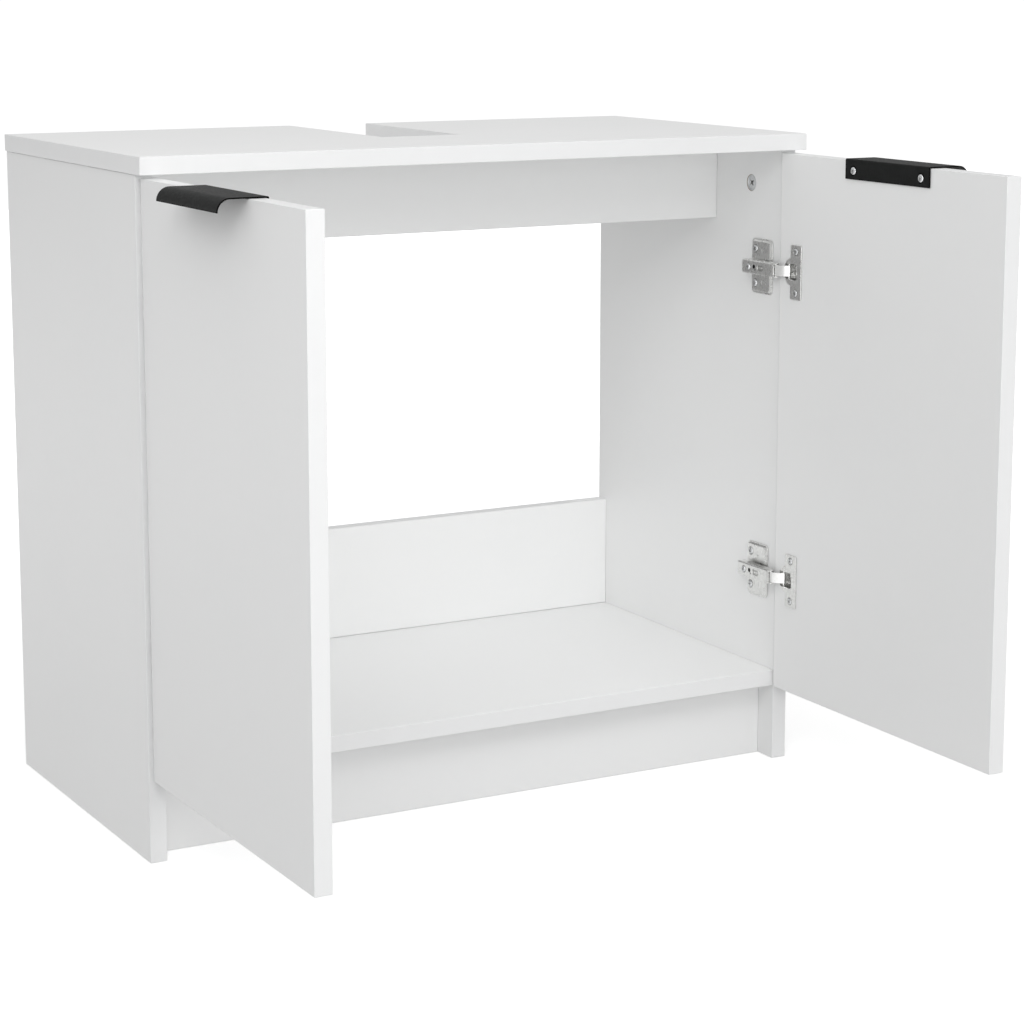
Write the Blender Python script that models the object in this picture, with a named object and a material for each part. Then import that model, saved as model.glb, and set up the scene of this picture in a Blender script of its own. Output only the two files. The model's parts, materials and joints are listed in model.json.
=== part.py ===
"""Two-door under-basin bathroom vanity cabinet in white melamine board.

Frame: metres, +Z up, the floor is z = 0. x = 0 is the middle of the width, +X is
the right-hand side seen from the front. y = 0 is the plane of the side panels'
front edges, +Y goes back to the wall. Both doors are modelled open by 90 degrees.

All sizes below are in millimetres and are turned into metres when a mesh is placed.
"""

import math

import bmesh
import bpy
from mathutils import Matrix, Vector

MM = 0.001

# ---- carcass -------------------------------------------------------------
BOARD = 15.0            # board thickness of every panel
TOP_W = 645.0           # width of the top panel
HEIGHT = 592.0          # floor to the top surface
TOP_LIP = 15.5          # how far the top stands in front of the sides
DEPTH = 324.5           # side panel depth, front edge to wall
SIDE_OUT = 321.0        # half width over the sides
SIDE_IN = SIDE_OUT - BOARD
NOTCH_HALF = 40.0       # half width of the pipe and basin waste cut-out
NOTCH_Y = 122.5         # front edge of that cut-out
BASE_Z = 71.6           # underside of the base panel
PLINTH_SETBACK = 24.0
APRON_Z = 506.2         # bottom edge of the board under the top
BACK_RAIL_TOP = 196.8
GAP = 0.3               # clearance between pieces that touch

# ---- doors ---------------------------------------------------------------
DOOR_W = 320.0
DOOR_Z0, DOOR_Z1 = 72.0, 574.0
DOOR_OPEN_X = 303.0     # inner face of the open right door
DOOR_OPEN_Y = -4.5      # hinge edge of the open door
DOOR_SHUT_X = 320.9     # hinge edge of the shut right door
DOOR_SHUT_GAP = 1.5     # shut door to the side panel's front edge

# ---- concealed hinges ----------------------------------------------------
HINGE_Z = (467.0, 179.0)
CUP_E = 20.5            # cup centre from the door's hinge edge
CUP_R = 13.0
CUP_DEEP = 11.5
PIVOT_E, PIVOT_D = 12.0, 2.0    # cup pin: from the hinge edge, and below the inner face
ARM_PIN_U = 8.5         # arm pin: from the side panel's inner face
ARM_TOP = 12.5          # height of the arm over the side panel
ARM_BACK, ARM_FRONT = -43.7, 9.0
ARM_HALF = 6.4
PLATE_BACK, PLATE_FRONT = -44.0, -11.0
PLATE_HALF = 25.5
PLATE_SCREW_V, PLATE_SCREW_Z = -37.0, 16.0
ARM_SCREW_V, ARM_HOLE_V = -33.5, -24.5
FLANGE_E0, FLANGE_E1, FLANGE_HALF = 18.3, 35.0, 25.0
CUP_SCREW_E, CUP_SCREW_Z = 26.5, 19.0

# ---- edge-pull handles ---------------------------------------------------
HANDLE_LEN = 120.0
HANDLE_T = 1.1
HANDLE_DROP = 16.8      # height of the flange screwed to the door's inner face
HANDLE_REACH = 14.5     # flat part in front of the door before the curl
CURL_R = 11.0
HANDLE_SCREW_PITCH = 96.0
HANDLE_SCREW_Z = 565.1

# ---- cam fittings that pull the top onto the sides -------------------------
CAM_R = 7.5
CAM_Y = (49.0, 275.5)
CAM_Z = 543.3


def pivot_v():
    """Distance of the arm pin in front of the side panel, equally far from the
    cup pin's place with the door shut and its place with the door open."""
    open_u, open_v = SIDE_IN - DOOR_OPEN_X - PIVOT_D, -DOOR_OPEN_Y + PIVOT_E
    shut_u = SIDE_IN - DOOR_SHUT_X + PIVOT_E
    shut_v = DOOR_SHUT_GAP + PIVOT_D
    mid_u, mid_v = (open_u + shut_u) / 2, (open_v + shut_v) / 2
    slope = (shut_u - open_u) / (shut_v - open_v)
    return mid_v - (ARM_PIN_U - mid_u) * slope


ARM_PIN_V = pivot_v()
CUP_PIN_U = SIDE_IN - DOOR_OPEN_X - PIVOT_D     # cup pin, door open
CUP_PIN_V = -DOOR_OPEN_Y + PIVOT_E


# ---- scene and materials ---------------------------------------------------
for old in list(bpy.data.objects):
    bpy.data.objects.remove(old, do_unlink=True)


def material(name, colour, roughness, metallic=0.0):
    made = bpy.data.materials.new(name)
    made.use_nodes = True
    shader = made.node_tree.nodes["Principled BSDF"]
    shader.inputs["Base Color"].default_value = (*colour, 1.0)
    shader.inputs["Roughness"].default_value = roughness
    shader.inputs["Metallic"].default_value = metallic
    made.diffuse_color = (*colour, 1.0)
    return made


BOARD_MAT = {
    name: material("white_melamine_" + name, colour, 0.42)
    for name, colour in {
        "top": (0.86, 0.865, 0.87),
        "side": (0.84, 0.845, 0.845),
        "door": (0.85, 0.852, 0.85),
        "inner": (0.83, 0.835, 0.835),
    }.items()
}
BLACK = material("black_powder_coat", (0.02, 0.022, 0.021), 0.5, 0.2)
NICKEL = material("nickel_plate", (0.72, 0.72, 0.7), 0.28, 1.0)
LINK = material("bright_link", (0.85, 0.85, 0.84), 0.22, 1.0)
ZINC = material("zinc_screw", (0.66, 0.67, 0.68), 0.35, 1.0)
CAM = material("cam_zinc", (0.7, 0.71, 0.72), 0.4, 0.8)


# ---- helpers -----------------------------------------------------------------
def axis_empty(name, point):
    """An empty on a joint's axis, for the pieces that turn about it."""
    empty = bpy.data.objects.new(name, None)
    empty.location = Vector(point) * MM
    empty.empty_display_size = 0.02
    bpy.context.scene.collection.objects.link(empty)
    return empty


def mirrored(bm, side):
    """Pieces are laid out for the right-hand side; the left is their mirror image."""
    if side == "left":
        bmesh.ops.scale(bm, vec=(-1, 1, 1), verts=bm.verts)
        bmesh.ops.reverse_faces(bm, faces=bm.faces)
    return bm


def place(name, bm, mat, parent=None, angle=None, cutter=False):
    """Turns a bmesh in millimetres into an object in metres."""
    origin = parent.location.copy() if parent else Vector((0, 0, 0))
    bmesh.ops.scale(bm, vec=(MM, MM, MM), verts=bm.verts)
    bmesh.ops.translate(bm, vec=-origin, verts=bm.verts)
    mesh = bpy.data.meshes.new(name)
    bm.to_mesh(mesh)
    bm.free()
    if angle:
        mesh.shade_smooth()
        mesh.set_sharp_from_angle(angle=math.radians(angle))
    obj = bpy.data.objects.new(name, mesh)
    bpy.context.scene.collection.objects.link(obj)
    if parent:
        obj.parent = parent
    if cutter:
        obj.hide_render = True
        obj.display_type = "WIRE"
    else:
        mesh.materials.append(mat)
    return obj


def block(x0, x1, y0, y1, z0, z1):
    bm = bmesh.new()
    bmesh.ops.create_cube(bm, size=1.0)
    bmesh.ops.scale(bm, vec=(x1 - x0, y1 - y0, z1 - z0), verts=bm.verts)
    bmesh.ops.translate(
        bm, vec=((x0 + x1) / 2, (y0 + y1) / 2, (z0 + z1) / 2), verts=bm.verts
    )
    return bm


def facing_out(bm):
    """Makes the faces agree, then turns them outwards by the sign of the volume."""
    bmesh.ops.recalc_face_normals(bm, faces=bm.faces)
    if bm.calc_volume(signed=True) < 0:
        bmesh.ops.reverse_faces(bm, faces=bm.faces)
    return bm


def prism(outline, low, high, to_world):
    """The outline, 2-D points, swept from low to high and mapped by to_world."""
    bm = bmesh.new()
    base = bm.faces.new([bm.verts.new((a, b, low)) for a, b in outline])
    grown = bmesh.ops.extrude_face_region(bm, geom=[base])
    moved = [g for g in grown["geom"] if isinstance(g, bmesh.types.BMVert)]
    bmesh.ops.translate(bm, vec=(0, 0, high - low), verts=moved)
    for vert in bm.verts:
        vert.co = Vector(to_world(*vert.co))
    return facing_out(bm)


def turned(profile, steps, centre, direction):
    """A closed (radius, height) profile spun about direction through centre."""
    bm = bmesh.new()
    points = [bm.verts.new((r, 0, h)) for r, h in profile]
    edges = [bm.edges.new(pair) for pair in zip(points, points[1:])]
    bmesh.ops.spin(
        bm,
        geom=points + edges,
        cent=(0, 0, 0),
        axis=(0, 0, 1),
        angle=2 * math.pi,
        steps=steps,
    )
    bmesh.ops.remove_doubles(bm, verts=bm.verts, dist=1e-4)
    facing_out(bm)
    turn = Vector((0, 0, 1)).rotation_difference(Vector(direction)).to_matrix()
    bm.transform(Matrix.Translation(Vector(centre)) @ turn.to_4x4())
    return bm


def rod(radius, start, end, steps=20):
    """A plain round rod between two points."""
    start, end = Vector(start), Vector(end)
    length = (end - start).length
    return turned(
        [(0, 0), (radius, 0), (radius, length), (0, length)], steps, start, end - start
    )


def joined(*parts):
    """Several bmeshes that don't touch, as one mesh for a cutter."""
    whole = bmesh.new()
    for part in parts:
        held = bpy.data.meshes.new("held")
        part.to_mesh(held)
        part.free()
        whole.from_mesh(held)
        bpy.data.meshes.remove(held)
    return whole


def boolean(obj, name, bm, operation="DIFFERENCE", parent=None):
    other = place(obj.name + "_" + name, bm, None, parent=parent, cutter=True)
    step = obj.modifiers.new(name, "BOOLEAN")
    step.operation = operation
    step.solver = "EXACT"
    step.object = other
    return obj


def edge_radius(obj, width, segments=1):
    step = obj.modifiers.new("edge_radius", "BEVEL")
    step.width = width * MM
    step.segments = segments
    step.limit_method = "ANGLE"
    step.angle_limit = math.radians(50)
    return obj


def rounded_rect(a0, a1, b0, b1, radius, steps=4):
    """Corner points of a rectangle with round corners, going round once."""
    points = []
    for ca, cb, start in (
        (a1 - radius, b1 - radius, 0),
        (a0 + radius, b1 - radius, 90),
        (a0 + radius, b0 + radius, 180),
        (a1 - radius, b0 + radius, 270),
    ):
        for i in range(steps + 1):
            at = math.radians(start + 90 * i / steps)
            points.append((ca + radius * math.cos(at), cb + radius * math.sin(at)))
    return points


def uv(u, v, z):
    """Hinge coordinates of the right side: u inboard from the side panel's inner
    face, v forwards from its front edge."""
    return (SIDE_IN - u, -v, z)


def on_door(e, n, z):
    """Door coordinates of the open right door: e from the hinge edge, n out of
    the inner face towards the outer face."""
    return (DOOR_OPEN_X + n, DOOR_OPEN_Y - e, z)


# ---- carcass -----------------------------------------------------------------
half = TOP_W / 2
outline = [
    (-half, -TOP_LIP),
    (half, -TOP_LIP),
    (half, DEPTH),
    (NOTCH_HALF, DEPTH),
    (NOTCH_HALF, NOTCH_Y),
    (-NOTCH_HALF, NOTCH_Y),
    (-NOTCH_HALF, DEPTH),
    (-half, DEPTH),
]
top = place(
    "top_panel",
    prism(outline, HEIGHT - BOARD, HEIGHT, lambda a, b, c: (a, b, c)),
    BOARD_MAT["top"],
)
edge_radius(top, 0.5)

inner = SIDE_IN - GAP
under_top = HEIGHT - BOARD - GAP
for name, box, mat in (
    ("base_panel", (-inner, inner, 0, DEPTH, BASE_Z, BASE_Z + BOARD), "inner"),
    (
        "plinth_board",
        (-inner, inner, PLINTH_SETBACK, PLINTH_SETBACK + BOARD, 0, BASE_Z - GAP),
        "inner",
    ),
    ("apron_rail", (-inner, inner, NOTCH_Y - BOARD, NOTCH_Y, APRON_Z, under_top), "inner"),
    (
        "lower_back_rail",
        (-inner, inner, DEPTH - BOARD, DEPTH, BASE_Z + BOARD + GAP, BACK_RAIL_TOP),
        "inner",
    ),
):
    edge_radius(place(name, block(*box), BOARD_MAT[mat]), 0.4)

PAN_HEAD = [(0, 1.5), (1.9, 1.3), (3.2, 0.4), (3.2, 0.0)]


def screw(head_scale, shank_r, length, centre, direction, steps=12):
    """A pan-head screw: centre is under the head, direction points out of the head."""
    profile = [(r * head_scale, h) for r, h in PAN_HEAD]
    profile += [(shank_r, 0), (0.6 * shank_r, -length), (0, -length)]
    return turned(profile[::-1], steps, centre, direction)


for side in ("left", "right"):
    sign = 1 if side == "right" else -1

    # Side panel with the fittings' bores.
    panel = place(
        side + "_side_panel",
        mirrored(block(SIDE_IN, SIDE_OUT, 0, DEPTH, 0, under_top), side),
        BOARD_MAT["side"],
    )
    edge_radius(panel, 0.4)
    bores = [
        rod(CAM_R + 0.3, (SIDE_IN - 1, y, CAM_Z), (SIDE_IN + 12.5, y, CAM_Z), 24)
        for y in CAM_Y
    ]
    bores += [
        rod(1.6, uv(1, PLATE_SCREW_V, z + dz), uv(-11.5, PLATE_SCREW_V, z + dz), 12)
        for z in HINGE_Z
        for dz in (-PLATE_SCREW_Z, PLATE_SCREW_Z)
    ]
    boolean(panel, "bores", mirrored(joined(*bores), side))

    # Cam fittings, a disc with a cross slot, just under flush.
    for place_name, y in zip(("front", "rear"), CAM_Y):
        cam = place(
            f"{side}_{place_name}_cam",
            mirrored(
                turned(
                    [(0, 0), (CAM_R, 0), (CAM_R, 11.3), (CAM_R - 0.6, 11.9), (0, 11.9)],
                    24,
                    (SIDE_IN + 12.1, y, CAM_Z),
                    (-1, 0, 0),
                ),
                side,
            ),
            CAM,
            angle=30,
        )
        slot = joined(
            block(SIDE_IN - 1, SIDE_IN + 2.4, y - 4.2, y + 4.2, CAM_Z - 0.8, CAM_Z + 0.8)
        )
        boolean(cam, "slot", mirrored(slot, side))
        slot = joined(
            block(SIDE_IN - 1, SIDE_IN + 2.2, y - 0.8, y + 0.8, CAM_Z - 4.2, CAM_Z + 4.2)
        )
        boolean(cam, "cross", mirrored(slot, side))

    link_axis = axis_empty(
        side + "_link_axis",
        (sign * (SIDE_IN - ARM_PIN_U), -ARM_PIN_V, sum(HINGE_Z) / 2),
    )
    door_axis = axis_empty(
        side + "_door_axis",
        (sign * (SIDE_IN - CUP_PIN_U), -CUP_PIN_V, sum(HINGE_Z) / 2),
    )

    # Door with the cups' bores and the screws' pilot holes.
    door = place(
        side + "_door",
        mirrored(
            block(
                DOOR_OPEN_X,
                DOOR_OPEN_X + BOARD,
                DOOR_OPEN_Y - DOOR_W,
                DOOR_OPEN_Y,
                DOOR_Z0,
                DOOR_Z1,
            ),
            side,
        ),
        BOARD_MAT["door"],
        parent=door_axis,
    )
    edge_radius(door, 0.4)
    holes = [
        rod(CUP_R + 0.3, on_door(CUP_E, -1, z), on_door(CUP_E, CUP_DEEP + 0.3, z), 36)
        for z in HINGE_Z
    ]
    holes += [
        rod(1.5, on_door(CUP_SCREW_E, -1, z + dz), on_door(CUP_SCREW_E, 10.5, z + dz), 12)
        for z in HINGE_Z
        for dz in (-CUP_SCREW_Z, CUP_SCREW_Z)
    ]
    screw_es = [
        DOOR_W / 2 - HANDLE_SCREW_PITCH / 2,
        DOOR_W / 2 + HANDLE_SCREW_PITCH / 2,
    ]
    holes += [
        rod(1.6, on_door(e, -1, HANDLE_SCREW_Z), on_door(e, 11, HANDLE_SCREW_Z), 12)
        for e in screw_es
    ]
    boolean(door, "bores", mirrored(joined(*holes), side), parent=door_axis)

    # Edge-pull handle: one bent sheet over the door's top edge.
    t = HANDLE_T
    z_top = DOOR_Z1 + GAP + t
    bend = BOARD + HANDLE_REACH
    section = [(-GAP - t, DOOR_Z1 + GAP - HANDLE_DROP), (-GAP, DOOR_Z1 + GAP - HANDLE_DROP)]
    section += [(-GAP, DOOR_Z1 + GAP), (bend, DOOR_Z1 + GAP)]
    arcs = 10
    section += [
        (
            bend + (CURL_R - t) * math.sin(math.pi / 2 * i / arcs),
            z_top - CURL_R + (CURL_R - t) * math.cos(math.pi / 2 * i / arcs),
        )
        for i in range(1, arcs + 1)
    ]
    section += [
        (
            bend + CURL_R * math.sin(math.pi / 2 * i / arcs),
            z_top - CURL_R + CURL_R * math.cos(math.pi / 2 * i / arcs),
        )
        for i in range(arcs, -1, -1)
    ]
    section += [(-GAP - t + 0.8, z_top), (-GAP - t + 0.24, z_top - 0.24), (-GAP - t, z_top - 0.8)]
    e0 = DOOR_W / 2 - HANDLE_LEN / 2
    handle = place(
        side + "_handle",
        mirrored(
            prism(section, e0, e0 + HANDLE_LEN, lambda n, z, e: on_door(e, n, z)), side
        ),
        BLACK,
        parent=door_axis,
        angle=30,
    )
    holes = [
        rod(1.9, on_door(e, -4, HANDLE_SCREW_Z), on_door(e, 1, HANDLE_SCREW_Z), 12)
        for e in screw_es
    ]
    boolean(handle, "holes", mirrored(joined(*holes), side), parent=door_axis)
    for label, e in zip(("inner", "outer"), screw_es):
        place(
            f"{side}_handle_screw_{label}",
            mirrored(
                screw(
                    1.1, 1.4, 11.0, on_door(e, -GAP - t - 0.15, HANDLE_SCREW_Z), (-1, 0, 0)
                ),
                side,
            ),
            ZINC,
            parent=door_axis,
            angle=30,
        )

    for level, z0 in zip(("upper", "lower"), HINGE_Z):
        tag = f"{side}_{level}"

        # Mounting plate: a wing plate with a raised rail that the arm clips over.
        plate = place(
            tag + "_mounting_plate",
            mirrored(
                prism(
                    rounded_rect(
                        PLATE_BACK, PLATE_FRONT, z0 - PLATE_HALF, z0 + PLATE_HALF, 4.0, 3
                    ),
                    GAP,
                    2.2,
                    lambda v, z, u: uv(u, v, z),
                ),
                side,
            ),
            NICKEL,
            angle=30,
        )
        rail = prism(
            rounded_rect(PLATE_BACK + 1.5, PLATE_FRONT - 1.5, z0 - 4.8, z0 + 4.8, 1.0, 1),
            1.2,
            10.9,
            lambda v, z, u: uv(u, v, z),
        )
        boolean(plate, "rail", mirrored(rail, side), "UNION")
        holes = [
            rod(
                2.2,
                uv(-1, PLATE_SCREW_V, z0 + dz),
                uv(5, PLATE_SCREW_V, z0 + dz),
                12,
            )
            for dz in (-PLATE_SCREW_Z, PLATE_SCREW_Z)
        ]
        holes += [rod(1.9, uv(3, ARM_SCREW_V, z0), uv(13, ARM_SCREW_V, z0), 12)]
        boolean(plate, "holes", mirrored(joined(*holes), side))
        for label, dz in (("top", PLATE_SCREW_Z), ("bottom", -PLATE_SCREW_Z)):
            place(
                f"{tag}_plate_screw_{label}",
                mirrored(
                    screw(
                        1.1, 1.35, 12.0, uv(2.35, PLATE_SCREW_V, z0 + dz), (-1, 0, 0)
                    ),
                    side,
                ),
                ZINC,
                angle=30,
            )

        # Arm: a channel that straddles the rail, with the link's pin at its nose.
        web_end = 6.5
        cheek = [
            (4.5, ARM_BACK),
            (4.5, 1.5),
            (6.3, 2.5),
            (6.3, ARM_FRONT - 1.0),
            (7.3, ARM_FRONT),
            (ARM_TOP - 1.6, ARM_FRONT),
            (ARM_TOP - 0.6, 6.0),
            (ARM_TOP, 3.0),
            (ARM_TOP, ARM_BACK),
        ]
        arm = place(
            tag + "_hinge_arm",
            mirrored(prism(cheek, z0 - ARM_HALF, z0 + ARM_HALF, uv), side),
            NICKEL,
            angle=30,
        )
        channel = [
            (0, ARM_BACK - 2),
            (0, ARM_FRONT + 2),
            (ARM_TOP + 3, ARM_FRONT + 2),
            (ARM_TOP + 3, web_end),
            (ARM_TOP - 1.3, web_end),
            (ARM_TOP - 1.3, ARM_BACK - 2),
        ]
        boolean(
            arm, "channel", mirrored(prism(channel, z0 - 5.2, z0 + 5.2, uv), side)
        )
        holes = [
            rod(1.9, uv(5, ARM_SCREW_V, z0), uv(15, ARM_SCREW_V, z0), 12),
            rod(1.6, uv(11, ARM_HOLE_V, z0), uv(15, ARM_HOLE_V, z0), 12),
        ]
        boolean(arm, "holes", mirrored(joined(*holes), side))
        pin = rod(
            1.0,
            uv(ARM_PIN_U, ARM_PIN_V, z0 - ARM_HALF + 0.4),
            uv(ARM_PIN_U, ARM_PIN_V, z0 + ARM_HALF - 0.4),
            12,
        )
        boolean(arm, "pin", mirrored(pin, side), "UNION")
        place(
            tag + "_arm_screw",
            mirrored(
                screw(
                    0.95, 1.5, 5.5, uv(ARM_TOP + 0.15, ARM_SCREW_V, z0), (-1, 0, 0)
                ),
                side,
            ),
            ZINC,
            angle=30,
        )

        # Cup: flange on the door's inner face, pressed bowl in the door's bore,
        # and the link's pin across the bowl.
        cup = place(
            tag + "_hinge_cup",
            mirrored(
                prism(
                    rounded_rect(
                        FLANGE_E0, FLANGE_E1, z0 - FLANGE_HALF, z0 + FLANGE_HALF, 1.6, 2
                    ),
                    -1.5,
                    -GAP,
                    lambda e, z, n: on_door(e, n, z),
                ),
                side,
            ),
            NICKEL,
            parent=door_axis,
            angle=30,
        )
        bowl = rod(CUP_R, on_door(CUP_E, -0.9, z0), on_door(CUP_E, CUP_DEEP, z0), 36)
        boolean(cup, "bowl", mirrored(bowl, side), "UNION", door_axis)
        # The hollow is round, with a shoulder at each side of the hinge-edge end
        # that holds the pin.
        inside = CUP_R - 0.6
        shoulder_e, shoulder_z = 14.8, 7.0
        arc_to = math.acos((CUP_E - shoulder_e) / inside)
        arc_from = math.asin(shoulder_z / inside)

        def ring(a0, a1, count):
            return [
                (
                    CUP_E - inside * math.cos(a0 + (a1 - a0) * i / count),
                    z0 + inside * math.sin(a0 + (a1 - a0) * i / count),
                )
                for i in range(count + 1)
            ]

        outline = ring(-arc_from, arc_from, 8)
        outline += [(shoulder_e, z0 + shoulder_z)]
        outline += ring(arc_to, 2 * math.pi - arc_to, 24)
        outline += [(shoulder_e, z0 - shoulder_z)]
        hollow = prism(outline, -4, CUP_DEEP - 0.6, lambda e, z, n: on_door(e, n, z))
        boolean(cup, "hollow", mirrored(hollow, side), parent=door_axis)
        holes = [
            rod(
                1.8,
                on_door(CUP_SCREW_E, -4, z0 + dz),
                on_door(CUP_SCREW_E, 1, z0 + dz),
                12,
            )
            for dz in (-CUP_SCREW_Z, CUP_SCREW_Z)
        ]
        boolean(cup, "holes", mirrored(joined(*holes), side), parent=door_axis)
        reach = 8.5
        pin = rod(
            1.0,
            on_door(PIVOT_E, PIVOT_D, z0 - reach),
            on_door(PIVOT_E, PIVOT_D, z0 + reach),
            12,
        )
        boolean(cup, "pin", mirrored(pin, side), "UNION", door_axis)
        for label, dz in (("top", CUP_SCREW_Z), ("bottom", -CUP_SCREW_Z)):
            place(
                f"{tag}_cup_screw_{label}",
                mirrored(
                    screw(
                        0.95,
                        1.25,
                        11.0,
                        on_door(CUP_SCREW_E, -1.65, z0 + dz),
                        (-1, 0, 0),
                    ),
                    side,
                ),
                ZINC,
                parent=door_axis,
                angle=30,
            )

        # Link: a bar with two lugs at each end, between the arm pin and the cup pin.
        start = Vector((ARM_PIN_U, ARM_PIN_V))
        along = Vector((CUP_PIN_U, CUP_PIN_V)) - start
        length = along.length
        along.normalize()
        out = Vector((along.y, -along.x))

        def in_link(a, b):
            point = start + along * a + out * b
            return (point.x, point.y)

        def lug(at, radius, steps=16):
            return [
                in_link(
                    at + radius * math.cos(2 * math.pi * i / steps),
                    radius * math.sin(2 * math.pi * i / steps),
                )
                for i in range(steps)
            ]

        bar = [in_link(a, b) for a, b in ((-0.6, 1.1), (length + 0.5, 1.1), (length + 0.5, 2.1), (length - 1.5, 2.8), (1.0, 2.8), (-0.6, 2.2))]
        link = place(
            tag + "_hinge_link",
            mirrored(prism(bar, z0 - 4.9, z0 + 4.9, uv), side),
            LINK,
            parent=link_axis,
            angle=30,
        )
        for label, at, radius in (("arm_lugs", 0.0, 2.1), ("cup_lugs", length, 1.9)):
            lugs = prism(lug(at, radius), z0 - 4.9, z0 + 4.9, uv)
            boolean(link, label, mirrored(lugs, side), "UNION", link_axis)
        between = [in_link(a, b) for a, b in ((-4, -4), (length + 4, -4), (length + 4, 1.1), (-4, 1.1))]
        boolean(
            link,
            "between_lugs",
            mirrored(prism(between, z0 - 3.6, z0 + 3.6, uv), side),
            parent=link_axis,
        )
        holes = [
            rod(1.25, uv(*in_link(at, 0), z0 - 8), uv(*in_link(at, 0), z0 + 8), 16)
            for at in (0.0, length)
        ]
        boolean(link, "pin_holes", mirrored(joined(*holes), side), parent=link_axis)
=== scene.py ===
"""Looks of a two-door under-basin bathroom vanity cabinet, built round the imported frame.

Every CAD node is replaced by a finer mesh that sits in the same place and rides on the
same body: boards with banded edges and real bores, bent-sheet handles, concealed hinges
with pressed and riveted parts, and screws with cross recesses. Lengths in this file are
in millimetres until a mesh is made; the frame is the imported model's.
"""

import json
import math

import bmesh
import bpy
from mathutils import Matrix, Vector

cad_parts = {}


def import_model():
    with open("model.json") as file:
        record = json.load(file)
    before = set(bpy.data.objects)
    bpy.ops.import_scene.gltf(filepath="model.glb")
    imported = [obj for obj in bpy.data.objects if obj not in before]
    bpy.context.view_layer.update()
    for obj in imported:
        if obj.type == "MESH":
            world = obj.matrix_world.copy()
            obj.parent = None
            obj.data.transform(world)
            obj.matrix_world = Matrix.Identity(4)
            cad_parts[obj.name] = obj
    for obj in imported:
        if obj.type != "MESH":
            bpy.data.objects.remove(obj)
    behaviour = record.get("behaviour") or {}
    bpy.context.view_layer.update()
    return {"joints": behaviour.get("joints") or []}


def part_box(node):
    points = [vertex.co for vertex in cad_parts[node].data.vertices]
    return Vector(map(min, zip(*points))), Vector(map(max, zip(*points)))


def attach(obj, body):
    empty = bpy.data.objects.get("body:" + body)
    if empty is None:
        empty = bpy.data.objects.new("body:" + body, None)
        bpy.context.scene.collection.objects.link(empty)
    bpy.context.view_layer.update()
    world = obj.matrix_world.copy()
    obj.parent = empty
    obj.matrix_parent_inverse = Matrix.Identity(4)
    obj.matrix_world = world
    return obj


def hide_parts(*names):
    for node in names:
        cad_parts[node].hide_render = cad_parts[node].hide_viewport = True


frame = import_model()
scene = bpy.context.scene
MM = 0.001


def box_mm(node):
    lo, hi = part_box(node)
    return lo / MM, hi / MM


# ---------------------------------------------------------------------------
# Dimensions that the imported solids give
# ---------------------------------------------------------------------------
SIDE_LO, SIDE_HI = box_mm("right_side_panel")
SIDE_IN, SIDE_OUT = SIDE_LO.x, SIDE_HI.x
DOOR_LO, DOOR_HI = box_mm("right_door")
DOOR_IN, DOOR_EDGE = DOOR_LO.x, DOOR_HI.y        # inner face, hinge edge
BOARD = DOOR_HI.x - DOOR_LO.x
DOOR_W = DOOR_HI.y - DOOR_LO.y
TOP_LO, TOP_HI = box_mm("top_panel")
HINGE_Z = [
    sum(box_mm(f"right_{level}_mounting_plate")[i].z for i in (0, 1)) / 2
    for level in ("upper", "lower")
]
NOTCH_HALF = 40.0
NOTCH_Y = box_mm("apron_rail")[1].y               # the cut-out ends over the apron's rear face
JOINT = {j["name"]: j for j in frame["joints"]}
ARM_PIN = Vector(JOINT["right_links_turn"]["pos_m"]) / MM
CUP_PIN = Vector(JOINT["right_door_swing"]["pos_m"]) / MM


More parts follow.
